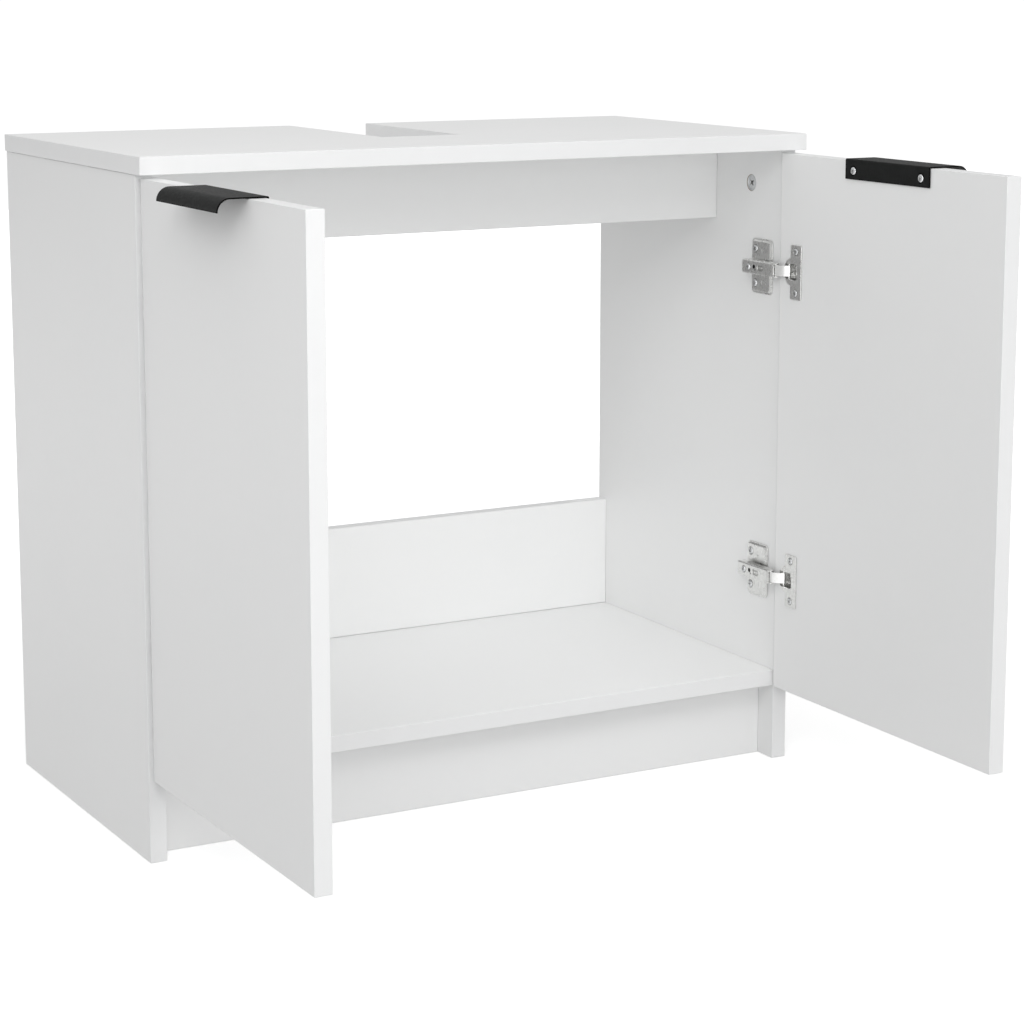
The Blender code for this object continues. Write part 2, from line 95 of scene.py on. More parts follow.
# ---------------------------------------------------------------------------
# Materials
# ---------------------------------------------------------------------------
class Nodes:
    """A small helper that builds one material's node tree."""

    def __init__(self, name):
        self.material = bpy.data.materials.new(name)
        self.material.use_nodes = True
        self.tree = self.material.node_tree
        self.shader = self.tree.nodes["Principled BSDF"]
        self.coords = self.tree.nodes.new("ShaderNodeTexCoord").outputs["Object"]

    def node(self, kind, **settings):
        made = self.tree.nodes.new(kind)
        for key, value in settings.items():
            if key in made.inputs:
                made.inputs[key].default_value = value
            else:
                setattr(made, key, value)
        return made

    def link(self, out, into):
        self.tree.links.new(out, into)

    def stretched(self, scale):
        mapping = self.node("ShaderNodeMapping")
        mapping.inputs["Scale"].default_value = scale
        self.link(self.coords, mapping.inputs["Vector"])
        return mapping.outputs["Vector"]

    def noise(self, scale, detail=2.0, roughness=0.5, along=None):
        made = self.node(
            "ShaderNodeTexNoise", Scale=scale, Detail=detail, Roughness=roughness
        )
        self.link(self.stretched(along) if along else self.coords, made.inputs["Vector"])
        return made.outputs["Fac"]

    def spread(self, value, low, high, from_low=0.3, from_high=0.7):
        made = self.node("ShaderNodeMapRange")
        made.inputs["From Min"].default_value = from_low
        made.inputs["From Max"].default_value = from_high
        made.inputs["To Min"].default_value = low
        made.inputs["To Max"].default_value = high
        self.link(value, made.inputs["Value"])
        return made.outputs["Result"]

    def between(self, value, low, high):
        ramp = self.node("ShaderNodeValToRGB")
        ramp.color_ramp.elements[0].position = 0.3
        ramp.color_ramp.elements[0].color = (*low, 1)
        ramp.color_ramp.elements[1].position = 0.7
        ramp.color_ramp.elements[1].color = (*high, 1)
        self.link(value, ramp.inputs["Fac"])
        return ramp.outputs["Color"]

    def sum(self, a, b, weight):
        made = self.node("ShaderNodeMath", operation="MULTIPLY_ADD")
        self.link(b, made.inputs[0])
        made.inputs[1].default_value = weight
        self.link(a, made.inputs[2])
        return made.outputs["Value"]

    def bump(self, height, distance, strength=1.0):
        made = self.node("ShaderNodeBump", Strength=strength, Distance=distance)
        self.link(height, made.inputs["Height"])
        self.link(made.outputs["Normal"], self.shader.inputs["Normal"])

    def colour(self, out):
        self.link(out, self.shader.inputs["Base Color"])

    def rough(self, out):
        self.link(out, self.shader.inputs["Roughness"])

    def set(self, **values):
        for key, value in values.items():
            self.shader.inputs[key.replace("_", " ")].default_value = value


def melamine():
    """White melamine paper pressed on board: satin, with a faint orange-peel."""
    m = Nodes("white_melamine")
    cloud = m.noise(7.0, 3.0)
    mottle = m.noise(130.0, 2.0)
    m.colour(
        m.between(m.sum(cloud, mottle, 0.35), (0.88, 0.885, 0.885), (0.892, 0.895, 0.893))
    )
    m.rough(m.spread(m.noise(210.0, 3.0), 0.36, 0.46))
    peel = m.sum(m.noise(620.0, 2.0, 0.45), m.noise(1900.0, 1.0), 0.35)
    m.bump(peel, 0.00002, 0.5)
    m.set(Specular_IOR_Level=0.42)
    return m.material


def edge_band():
    """The thin plastic band glued on the boards' narrow sides: smoother and whiter."""
    m = Nodes("white_edge_band")
    m.colour(m.between(m.noise(40.0, 2.0), (0.868, 0.872, 0.873), (0.878, 0.882, 0.883)))
    m.rough(m.spread(m.noise(260.0, 2.0), 0.3, 0.38))
    m.bump(m.noise(420.0, 2.0, along=(1.0, 1.0, 0.25)), 0.00002, 0.4)
    m.set(Specular_IOR_Level=0.45)
    return m.material


def glue_line():
    """The hairline where the band meets the face."""
    m = Nodes("edge_glue_line")
    m.colour(m.between(m.noise(900.0, 2.0), (0.79, 0.79, 0.785), (0.83, 0.83, 0.825)))
    m.rough(m.spread(m.noise(300.0, 2.0), 0.5, 0.65))
    return m.material


def chipboard():
    """Bare particle board inside the bores."""
    m = Nodes("bare_chipboard")
    chips = m.node("ShaderNodeTexVoronoi", Scale=420.0, Randomness=1.0)
    m.link(m.stretched((1.0, 0.45, 1.0)), chips.inputs["Vector"])
    shade = m.sum(m.noise(160.0, 3.0), chips.outputs["Distance"], 0.4)
    m.colour(m.between(shade, (0.3, 0.245, 0.185), (0.54, 0.46, 0.37)))
    m.rough(m.spread(shade, 0.75, 0.92))
    m.bump(shade, 0.00025, 0.7)
    return m.material


def powder_coat(name, low, high, specular):
    """Matt black powder coat with its fine pebbled grain."""
    m = Nodes(name)
    m.colour(m.between(m.noise(90.0, 2.0), low, high))
    m.rough(m.spread(m.noise(500.0, 2.0), 0.46, 0.58))
    grain = m.sum(m.noise(1500.0, 2.0, 0.55), m.noise(480.0, 1.0), 0.5)
    m.bump(grain, 0.00005, 0.55)
    m.set(Specular_IOR_Level=specular)
    return m.material


def plated(name, low, high, rough, rolled, bump):
    """Nickel- or zinc-plated steel: rolling lines, blotchy gloss, faint pressing marks."""
    m = Nodes(name)
    blotch = m.noise(150.0, 3.0)
    m.colour(m.between(blotch, low, high))
    lines = m.noise(900.0, 2.0, along=rolled)
    m.rough(m.spread(m.sum(blotch, lines, 0.5), rough[0], rough[1], 0.45, 1.05))
    m.bump(m.sum(lines, m.noise(2600.0, 1.0), 0.5), bump, 0.5)
    m.set(Metallic=1.0)
    return m.material


FACE, BAND, SEAM, CHIP = melamine(), edge_band(), glue_line(), chipboard()
BLACK = powder_coat("black_powder_coat", (0.0082, 0.0088, 0.0086), (0.0112, 0.012, 0.0117), 0.1)
# Painted shade: a darker, less glossy black for the handle sheet's border strips and its screw countersinks.
BLACK_PAINTED_RIM_SHADE = powder_coat("black_powder_coat_painted_edge_shade", (0.002, 0.002, 0.002), (0.0035, 0.0035, 0.0035), 0.04)
NICKEL = plated(
    "nickel_plate", (0.74, 0.74, 0.728), (0.83, 0.83, 0.818), (0.22, 0.34), (1, 1, 0.06), 0.00003
)
# Painted shade: darker nickel put in holes, counterbores, keyholes and cross recesses, where shade falls.
NICKEL_PAINTED_HOLE_SHADE = plated(
    "nickel_painted_hole_shade", (0.3, 0.3, 0.29), (0.4, 0.4, 0.39), (0.3, 0.42), (1, 1, 0.06), 0.00003
)
# Painted shade: mid-grey nickel inside the arm's pressed slot.
NICKEL_PAINTED_SLOT_SHADE = plated(
    "nickel_painted_slot_shade", (0.46, 0.46, 0.45), (0.58, 0.58, 0.57), (0.3, 0.42), (1, 1, 0.06), 0.00003
)
# Painted shade: near black inside the adjuster holes, standing for the shadow in them.
NICKEL_PAINTED_DEEP_SHADE = plated(
    "painted_deep_hole_shade", (0.03, 0.03, 0.03), (0.06, 0.06, 0.058), (0.45, 0.6), (1, 1, 1), 0.00002
)
LINK = plated(
    "bright_link", (0.84, 0.84, 0.83), (0.9, 0.9, 0.89), (0.2, 0.3), (1, 1, 0.08), 0.00002
)
ZINC = plated(
    "zinc_screw", (0.66, 0.67, 0.68), (0.78, 0.79, 0.8), (0.2, 0.32), (0.2, 1, 1), 0.00002
)
CAM = plated(
    "cam_zinc", (0.56, 0.57, 0.575), (0.68, 0.69, 0.7), (0.34, 0.46), (1, 1, 1), 0.00006
)


# ---------------------------------------------------------------------------
# Mesh helpers
# ---------------------------------------------------------------------------
def outward(bm):
    bmesh.ops.recalc_face_normals(bm, faces=bm.faces)
    if bm.calc_volume(signed=True) < 0:
        bmesh.ops.reverse_faces(bm, faces=bm.faces)
    return bm


def sided(bm, side):
    """Pieces are laid out for the right-hand side; the left is their mirror image."""
    if side == "left":
        bmesh.ops.scale(bm, vec=(-1, 1, 1), verts=bm.verts)
        bmesh.ops.reverse_faces(bm, faces=bm.faces)
    return bm


def solid(name, bm, *materials):
    bmesh.ops.scale(bm, vec=(MM, MM, MM), verts=bm.verts)
    mesh = bpy.data.meshes.new(name)
    bm.to_mesh(mesh)
    bm.free()
    for material in materials:
        mesh.materials.append(material)
    obj = bpy.data.objects.new(name, mesh)
    scene.collection.objects.link(obj)
    return obj


def settled(obj):
    """Applies the modifiers."""
    bpy.context.view_layer.update()
    depsgraph = bpy.context.evaluated_depsgraph_get()
    mesh = bpy.data.meshes.new_from_object(
        obj.evaluated_get(depsgraph), preserve_all_data_layers=True, depsgraph=depsgraph
    )
    old, obj.data = obj.data, mesh
    obj.modifiers.clear()
    bpy.data.meshes.remove(old)
    return obj


def combined(obj, operation, tools):
    for tool in tools:
        step = obj.modifiers.new("step", "BOOLEAN")
        step.operation, step.solver, step.object = operation, "EXACT", tool
        step.material_mode = "TRANSFER"
    settled(obj)
    for tool in tools:
        bpy.data.objects.remove(tool, do_unlink=True)
    return obj


def cut(obj, side, *tools):
    """tools are (bmesh, material) pairs, laid out for the right-hand side."""
    return combined(
        obj, "DIFFERENCE", [solid("tool", sided(bm, side), mat) for bm, mat in tools]
    )


def add(obj, side, *tools):
    return combined(
        obj, "UNION", [solid("tool", sided(bm, side), mat) for bm, mat in tools]
    )


def piece(obj, body, slot, *nodes, angle=32.0):
    """Finishes a piece: shading, its body, and the nodes it stands for; the slot argument is not used."""
    mesh = obj.data
    tidy = bmesh.new()
    tidy.from_mesh(mesh)
    bmesh.ops.remove_doubles(tidy, verts=tidy.verts, dist=2e-7)
    bmesh.ops.dissolve_degenerate(tidy, edges=tidy.edges, dist=1e-7)
    tidy.to_mesh(mesh)
    tidy.free()
    mesh.shade_smooth()
    mesh.set_sharp_from_angle(angle=math.radians(angle))
    step = obj.modifiers.new("weighted", "WEIGHTED_NORMAL")
    step.mode, step.keep_sharp, step.weight = "FACE_AREA", True, 80
    settled(obj)
    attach(obj, body)
    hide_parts(*nodes)
    return obj


def uvz(u, v, z):
    """u inboard from the right side panel's inner face, v forwards from its front edge."""
    return Vector((SIDE_IN - u, -v, z))


def enz(e, n, z):
    """e from the open right door's hinge edge, n from its inner face to its outer face."""
    return Vector((DOOR_IN + n, DOOR_EDGE - e, z))


def plain(x, y, z):
    return Vector((x, y, z))


def loft(rings, place):
    """Rings of equal point counts, joined one to the next and capped at both ends."""
    bm = bmesh.new()
    rows = [[bm.verts.new(place(*p)) for p in ring] for ring in rings]
    for low, high in zip(rows, rows[1:]):
        for i in range(len(low)):
            j = (i + 1) % len(low)
            bm.faces.new((low[i], low[j], high[j], high[i]))
    bm.faces.new(rows[0][::-1])
    bm.faces.new(rows[-1])
    bmesh.ops.remove_doubles(bm, verts=bm.verts, dist=1e-4)
    return outward(bm)


def rounded(a0, a1, b0, b1, radius, steps=6):
    points = []
    radius = max(radius, 0.02)
    for ca, cb, start in (
        (a1 - radius, b1 - radius, 0),
        (a0 + radius, b1 - radius, 90),
        (a0 + radius, b0 + radius, 180),
        (a1 - radius, b0 + radius, 270),
    ):
        for i in range(steps + 1):
            at = math.radians(start + 90 * i / steps)
            points.append((ca + radius * math.cos(at), cb + radius * math.sin(at)))
    return points


def raised(levels, place, steps=6):
    """A plate whose outline changes with height. levels: (height, a0, a1, b0, b1, radius).
    place takes (a, b, height)."""
    return loft(
        [
            [(a, b, height) for a, b in rounded(a0, a1, b0, b1, radius, steps)]
            for height, a0, a1, b0, b1, radius in levels
        ],
        place,
    )


def turned(profile, steps, centre, direction):
    """A (radius, height) profile, from axis to axis, spun about direction."""
    bm = bmesh.new()
    points = [bm.verts.new((r, 0, h)) for r, h in profile]
    edges = [bm.edges.new(pair) for pair in zip(points, points[1:])]
    bmesh.ops.spin(
        bm,
        geom=points + edges,
        cent=(0, 0, 0),
        axis=(0, 0, 1),
        angle=2 * math.pi,
        steps=steps,
    )
    bmesh.ops.remove_doubles(bm, verts=bm.verts, dist=1e-4)
    outward(bm)
    turn = Vector((0, 0, 1)).rotation_difference(Vector(direction)).to_matrix()
    bm.transform(Matrix.Translation(Vector(centre)) @ turn.to_4x4())
    return bm


def rod(radius, start, end, steps=32, flare=0.0):
    """A round rod; flare widens its first end to a cone of that extra radius."""
    start, end = Vector(start), Vector(end)
    length = (end - start).length
    profile = [(0, 0), (radius + flare, 0)]
    if flare:
        profile.append((radius, min(flare * 2.2, length * 0.5)))
    profile += [(radius, length), (0, length)]
    return turned(profile, steps, start, end - start)


def capsule(a0, a1, b, radius, low, high, place, steps=10, flare=0.0):
    """A long slot with round ends, from low to high."""
    rings = []
    for height, grow in ((low, 0.0), (high, flare)):
        ring, r = [], radius + grow
        for centre, start in ((a1 - radius, -90), (a0 + radius, 90)):
            for i in range(steps + 1):
                at = math.radians(start + 180 * i / steps)
                ring.append((centre + r * math.cos(at), b + r * math.sin(at), height))
        rings.append(ring)
    return loft(rings, place)


# ---------------------------------------------------------------------------
# Boards
# ---------------------------------------------------------------------------
def banded(bm, thin_axis, sawn_ends=False):
    """Rounds a board's edges and gives its narrow sides the band, with the hairline
    round each broad face. Material 0 is the face, 1 the band, 2 the hairline. A board
    that butts against the side panels keeps its two sawn ends sharp."""
    edges = list(bm.edges)
    if sawn_ends:
        edges = [e for e in edges if abs(e.verts[0].co.x - e.verts[1].co.x) > 1.0]
    bmesh.ops.bevel(
        bm,
        geom=edges,
        offset=0.6,
        offset_type="OFFSET",
        segments=3,
        profile=0.5,
        affect="EDGES",
        clamp_overlap=True,
    )
    bm.normal_update()
    broad = []
    for face in bm.faces:
        is_broad = abs(face.normal[thin_axis]) > 0.999
        face.material_index = 0 if is_broad else 1
        if is_broad:
            broad.append(face)
    grown = bmesh.ops.inset_region(
        bm, faces=broad, thickness=0.16, depth=0.0, use_even_offset=True
    )
    for face in grown["faces"]:
        face.material_index = 2
    return bm


def box(lo, hi):
    bm = bmesh.new()
    bmesh.ops.create_cube(bm, size=1.0)
    bmesh.ops.scale(bm, vec=hi - lo, verts=bm.verts)
    bmesh.ops.translate(bm, vec=(lo + hi) / 2, verts=bm.verts)
    return bm


def board(node, body, side=None, bores=()):
    lo, hi = box_mm(node)
    size = hi - lo
    thin = min(range(3), key=lambda i: size[i])
    bm = banded(box(lo, hi), thin, sawn_ends=body == "carcass" and side is None)
    obj = solid(node + "_board", bm, FACE, BAND, SEAM)
    if bores:
        cut(obj, side, *[(bm, CHIP) for bm in bores])
    return piece(obj, body, "white_board", node)


for node in ("base_panel", "plinth_board", "apron_rail", "lower_back_rail"):
    board(node, "carcass")

# The top, with the cut-out for pipes and the basin's waste.
outline = [
    (TOP_LO.x, TOP_LO.y),
    (TOP_HI.x, TOP_LO.y),
    (TOP_HI.x, TOP_HI.y),
    (NOTCH_HALF, TOP_HI.y),
    (NOTCH_HALF, NOTCH_Y),
    (-NOTCH_HALF, NOTCH_Y),
    (-NOTCH_HALF, TOP_HI.y),
    (TOP_LO.x, TOP_HI.y),
]
bm = loft([[(x, y, z) for x, y in outline] for z in (TOP_LO.z, TOP_HI.z)], plain)
piece(
    solid("top_panel_board", banded(bm, 2), FACE, BAND, SEAM),
    "carcass",
    "white_board",
    "top_panel",
)

PLATE_SCREW_V, PLATE_SCREW_Z = -37.0, 16.0
CUP_E, CUP_R, CUP_DEEP = 20.5, 13.0, 11.5
CUP_SCREW_E, CUP_SCREW_Z = 26.5, 19.0
HANDLE_LO, HANDLE_HI = box_mm("right_handle")
HANDLE_SCREW_E = [DOOR_W / 2 - 48.0, DOOR_W / 2 + 48.0]
HANDLE_SCREW_Z = sum(box_mm("right_handle_screw_inner")[i].z for i in (0, 1)) / 2
CAM_AT = [
    (box_mm(f"right_{end}_cam")[0] + box_mm(f"right_{end}_cam")[1]) / 2
    for end in ("front", "rear")
]
CAM_R = (box_mm("right_front_cam")[1].z - box_mm("right_front_cam")[0].z) / 2

for side in ("left", "right"):
    bores = [
        rod(CAM_R + 0.3, (SIDE_IN - 1, at.y, at.z), (SIDE_IN + 12.5, at.y, at.z), 40)
        for at in CAM_AT
    ]
    bores += [
        rod(1.6, uvz(1, PLATE_SCREW_V, z + dz), uvz(-11.5, PLATE_SCREW_V, z + dz), 16)
        for z in HINGE_Z
        for dz in (-PLATE_SCREW_Z, PLATE_SCREW_Z)
    ]
    board(side + "_side_panel", "carcass", side, bores)

    bores = [
        rod(CUP_R + 0.3, enz(CUP_E, -1, z), enz(CUP_E, CUP_DEEP + 0.3, z), 64)
        for z in HINGE_Z
    ]
    bores += [
        rod(1.5, enz(CUP_SCREW_E, -1, z + dz), enz(CUP_SCREW_E, 10.5, z + dz), 16)
        for z in HINGE_Z
        for dz in (-CUP_SCREW_Z, CUP_SCREW_Z)
    ]
    bores += [
        rod(1.6, enz(e, -1, HANDLE_SCREW_Z), enz(e, 11, HANDLE_SCREW_Z), 16)
        for e in HANDLE_SCREW_E
    ]
    board(side + "_door", side + "_door_leaf", side, bores)


# ---------------------------------------------------------------------------
# Screws and cams
# ---------------------------------------------------------------------------
def arc(cx, cz, r, a0, a1, steps):
    return [
        (
            cx + r * math.cos(math.radians(a0 + (a1 - a0) * i / steps)),
            cz + r * math.sin(math.radians(a0 + (a1 - a0) * i / steps)),
        )
        for i in range(steps + 1)
    ]


def cross_recess(width, depth, blade, centre, direction, twist=0.0):
    """Two tapered blades crossed at right angles: the cutter of a cross recess."""
    parts = []
    turn = Vector((0, 0, 1)).rotation_difference(Vector(direction)).to_matrix().to_4x4()
    for quarter in (0, 90):
        a = width / 2
        rings = []
        for height, share, thick in ((-depth, 0.32, 0.75), (0.0, 1.0, 1.0), (0.6, 1.15, 1.1)):
            p, q = a * share, blade / 2 * thick
            rings.append([(p, q, height), (-p, q, height), (-p, -q, height), (p, -q, height)])
        bm = loft(rings, plain)
        bm.transform(
            Matrix.Translation(Vector(centre))
            @ turn
            @ Matrix.Rotation(math.radians(quarter + twist), 4, "Z")
        )
        parts.append(bm)
    return parts


def screw(node, side, body, under_head, head_r, head_h, shank_r, length, twist, low=0.0):
    """A pan-head screw with a cross recess and a threaded shank, pointing into +X.
    under_head is where the head meets what it holds."""
    rim = 0.22 * head_h
    profile = [(0, -length), (0.35 * shank_r, -length + 0.25)]
    tip = min(2.5, length * 0.3)
    count = max(3, int((length - tip) / 1.1))
    profile.append((0.8 * shank_r, -length + tip))
    for i in range(count):
        z = -length + tip + (length - tip) * (i + 0.5) / count
        step = (length - tip) / count
        profile += [(shank_r, z - 0.12 * step), (0.78 * shank_r, z + 0.4 * step)]
    profile += [(shank_r * 0.8, -0.02), (head_r * 0.96, 0.0), (head_r, rim * 0.6), (head_r, rim)]
    # The crown: an arc from the rim to the top.
    crown = head_h - rim
    for i in range(1, 8):
        at = math.pi / 2 * i / 8
        profile.append((head_r * math.cos(at) ** 0.75, rim + crown * math.sin(at)))
    profile.append((0, head_h))
    obj = solid(
        node + "_fastener",
        sided(turned(profile, 28, under_head, (-1, 0, 0)), side),
        ZINC,
        NICKEL_PAINTED_HOLE_SHADE,
    )
    top = Vector(under_head) + Vector((-head_h, 0, 0))
    # The cross recess is painted darker nickel: painted shade.
    for bm in cross_recess(head_r * 1.15, head_h * 0.62, head_r * 0.26, top, (-1, 0, 0), twist):
        cut(obj, side, (bm, NICKEL_PAINTED_HOLE_SHADE))
    return piece(obj, body, "zinc_screw", node)


def cam_fitting(node, side, at, twist):
    """The die-cast cam in its bore: a disc with a raised rim, a cross recess and an arrow."""
    back = SIDE_IN + 12.1
    h = 11.9
    r = CAM_R
    profile = [(0, 0), (r - 0.5, 0), (r, 0.5), (r, h - 0.5)]
    profile += [(r - 0.15, h - 0.15), (r - 0.5, h), (r - 1.0, h), (r - 1.2, h - 0.15)]
    profile += [(r - 1.35, h - 0.55), (3.9, h - 0.6), (3.7, h - 0.35), (3.5, h - 0.3), (0, h - 0.3)]
    centre = (back, at.y, at.z)
    obj = solid(
        node + "_fitting",
        sided(turned(profile, 48, centre, (-1, 0, 0)), side),
        CAM,
        NICKEL_PAINTED_HOLE_SHADE,
    )
    face = Vector((back - h + 0.3, at.y, at.z))
    # The cross recess is painted darker: painted shade.
    for bm in cross_recess(6.4, 3.0, 1.5, face, (-1, 0, 0), twist):
        cut(obj, side, (bm, NICKEL_PAINTED_HOLE_SHADE))
    # The arrow that shows which way the cam opens.
    turn = math.radians(twist)
    tri = []
    for height in (0.9, 0.25):
        ring = []
        for a, b in ((5.75, 0.0), (4.35, 1.0), (4.35, -1.0)):
            y = a * math.cos(turn) - b * math.sin(turn)
            z = a * math.sin(turn) + b * math.cos(turn)
            ring.append((back - h + height, at.y + y, at.z + z))
        tri.append(ring)
    add(obj, side, (loft(tri, plain), CAM))
    return piece(obj, "carcass", "cam_zinc", node)


# ---------------------------------------------------------------------------
# Handles
# ---------------------------------------------------------------------------
def handle(side):
    """One bent sheet: a flange on the door's inner face, the flat over its top edge,
    and the quarter-round grip. Swept along the door, with a darker rim painted at its borders as painted shade."""
    t = 1.1
    x0 = HANDLE_LO.x - DOOR_IN           # outer side of the flange
    top = HANDLE_HI.z
    foot = HANDLE_LO.z
    reach = HANDLE_HI.x - DOOR_IN        # the grip's outermost point
    curl = 11.0
    bend_r = 1.4                         # outer radius of the bend over the door's edge
    bend = reach - curl
    outer, inner = [], []                # (n, z), from the flange's foot to the grip's lip

    def both(n, z, nx, nz):
        outer.append((n, z))
        inner.append((n - nx * t, z - nz * t))

    both(x0, foot, -1, 0)
    both(x0, foot + 0.9, -1, 0)
    both(x0, (foot + top) / 2, -1, 0)
    for i in range(7):
        a = math.radians(180 - 90 * i / 6)
        both(
            x0 + bend_r + bend_r * math.cos(a),
            top - bend_r + bend_r * math.sin(a),
            math.cos(a),
            math.sin(a),
        )
    both(BOARD / 2, top, 0, 1)
    for i in range(21):
        a = math.radians(90 - 90 * i / 20)
        both(
            bend + curl * math.cos(a), top - curl + curl * math.sin(a), math.cos(a), math.sin(a)
        )
    # A station just above the lip, so that the painted-shade rim has its own strip.
    lip_at = len(outer) - 1
    a = math.radians(90.0 * 0.9 / (curl * math.pi / 2))
    mid = (bend + curl * math.cos(a), top - curl + curl * math.sin(a))
    mid_in = (mid[0] - math.cos(a) * t, mid[1] - math.sin(a) * t)
    outer[lip_at - 1], inner[lip_at - 1] = mid, mid_in
    length = HANDLE_HI.y - HANDLE_LO.y
    e0 = DOOR_W / 2 - length / 2
    r = 0.22                              # rounding of the sheet's cut edges
    stations = [e0 + 0.0, e0 + 0.9]
    stations += [e0 + length * i / 12 for i in range(1, 12)]
    stations += [e0 + length - 0.9, e0 + length]
    bm = bmesh.new()
    # A closed ring at each station: outer side, lip, inner side back, foot.
    # The cut edges are rounded by pulling the first and last rings and the lips in.
    rings = []
    last = len(stations) - 1

    def ring_at(e, shrink):
        points = []
        n_pts = len(outer)

        def between(k, share):
            o, i_ = outer[k], inner[k]
            return (o[0] + (i_[0] - o[0]) * share, o[1] + (i_[1] - o[1]) * share)

        s = shrink / t
        for k in range(n_pts):
            points.append(between(k, s))
        lip_o, lip_i = between(n_pts - 1, s), between(n_pts - 1, 1 - s)
        points.append((lip_o[0] + (lip_i[0] - lip_o[0]) * 0.5, lip_o[1] - r))
        for k in range(n_pts - 1, -1, -1):
            points.append(between(k, 1 - s))
        foot_o, foot_i = between(0, s), between(0, 1 - s)
        points.append((foot_o[0] + (foot_i[0] - foot_o[0]) * 0.5, foot_o[1] - r))
        return [(e, n, z) for n, z in points]

    # Lift foot and lip by the rounding, so the piece keeps its size.
    outer[0] = (outer[0][0], outer[0][1] + r)
    inner[0] = (inner[0][0], inner[0][1] + r)
    outer[-1] = (outer[-1][0], outer[-1][1] + r)
    inner[-1] = (inner[-1][0], inner[-1][1] + r)
    for k, e in enumerate(stations):
        if k == 0:
            rings += [ring_at(e, 0.30), ring_at(e + 0.08, 0.12), ring_at(e + r + 0.03, 0.0)]
        elif k == last:
            rings += [ring_at(e - r - 0.03, 0.0), ring_at(e - 0.08, 0.12), ring_at(e, 0.30)]
        else:
            rings.append(ring_at(e, 0.0))
    rows = [[bm.verts.new(enz(*p)) for p in ring] for ring in rings]
    count = len(rings[0])
    half = len(outer)
    # The rows near the sheet's ends and the strips along foot and lip take the darker rim: painted shade at the
    # borders.
    painted_shade_rows = {0, 1, 2, len(rows) - 2, len(rows) - 3, len(rows) - 4}
    for k, (low, high) in enumerate(zip(rows, rows[1:])):
        for i in range(count):
            j = (i + 1) % count
            face = bm.faces.new((low[i], low[j], high[j], high[i]))
            painted_shade_strip = i in (0, half - 2, half - 1, half, half + 1, 2 * half - 1, 2 * half, 2 * half + 1)
            face.material_index = 1 if (k in painted_shade_rows or painted_shade_strip) else 0
    for row in (rows[0][::-1], rows[-1]):
        # The end of the sheet, as a strip of quads between its two sides.
        for i in range(half - 1):
            a, b = row[i], row[i + 1]
            if row is rows[-1]:
                c, d = row[count - 2 - i - 1], row[count - 2 - i]
            else:
                c, d = None, None
            if c is not None:
                face = bm.faces.new((a, b, c, d))
                face.material_index = 1
    # Close whatever the strips left open.
    edges = [edge for edge in bm.edges if len(edge.link_faces) == 1]
    filled = bmesh.ops.holes_fill(bm, edges=edges, sides=0)
    for face in filled["faces"]:
        face.material_index = 1
    outward(bm)
    obj = solid(side + "_handle_sheet", sided(bm, side), BLACK, BLACK_PAINTED_RIM_SHADE)
    seat = HANDLE_LO.x - DOOR_IN
    tools = []
    # The screw countersinks take the darker rim material: painted shade in the recess.
    for e in HANDLE_SCREW_E:
        profile = [(0, -1.0), (4.75, -1.0), (4.75, 0.0), (4.3, 0.42), (2.0, 0.5), (2.0, 3.0), (0, 3.0)]
        tools.append((turned(profile, 36, enz(e, seat, HANDLE_SCREW_Z), (1, 0, 0)), BLACK_PAINTED_RIM_SHADE))
    cut(obj, side, *tools)
    return piece(obj, side + "_door_leaf", "black_handle", side + "_handle")


# ---------------------------------------------------------------------------
# Concealed hinges
# ---------------------------------------------------------------------------
ARM_TOP, ARM_BACK, ARM_FRONT, ARM_HALF = 12.5, -43.7, 9.0, 6.4
PLATE_BACK, PLATE_FRONT, PLATE_HALF = -44.0, -11.0, 25.5
ARM_SCREW_V, ARM_HOLE_V = -33.5, -24.5
FLANGE_E0, FLANGE_E1, FLANGE_HALF = 18.3, 35.0, 25.0
PIVOT_E, PIVOT_D = 12.0, 2.0
MOUTH_HALF, MOUTH_END = 7.15, 28.2          # the cup's mouth in its lip
ARM_PIN_U, ARM_PIN_V = SIDE_IN - ARM_PIN.x, -ARM_PIN.y
CUP_PIN_U, CUP_PIN_V = SIDE_IN - CUP_PIN.x, -CUP_PIN.y


